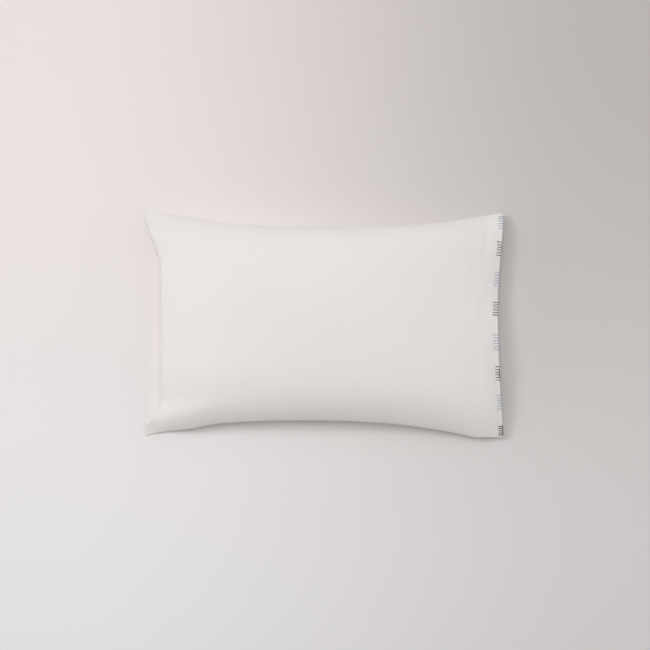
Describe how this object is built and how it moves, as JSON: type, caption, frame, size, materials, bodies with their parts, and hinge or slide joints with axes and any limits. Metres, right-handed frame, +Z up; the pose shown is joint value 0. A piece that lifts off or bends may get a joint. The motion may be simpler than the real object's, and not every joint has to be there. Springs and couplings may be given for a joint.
{
  "type": "filled pillowcase",
  "caption": "White cotton pillowcase, filled and lying on its back, closed at one end and open at the other, with coloured hand stitches over the mouth's edge.",
  "frame": {"origin": "on the surface that the case lies on, under the middle of its outer size", "axes": "+X along the case towards its open end, +Y across it towards one long side seam, +Z up from the surface to the crown"},
  "size_m": [0.734, 0.4692, 0.178],
  "materials": {
    "white_cotton": "matte"
  },
  "bodies": {
    "root": {"filled_case": "white_cotton"}
  },
  "joints": []
}
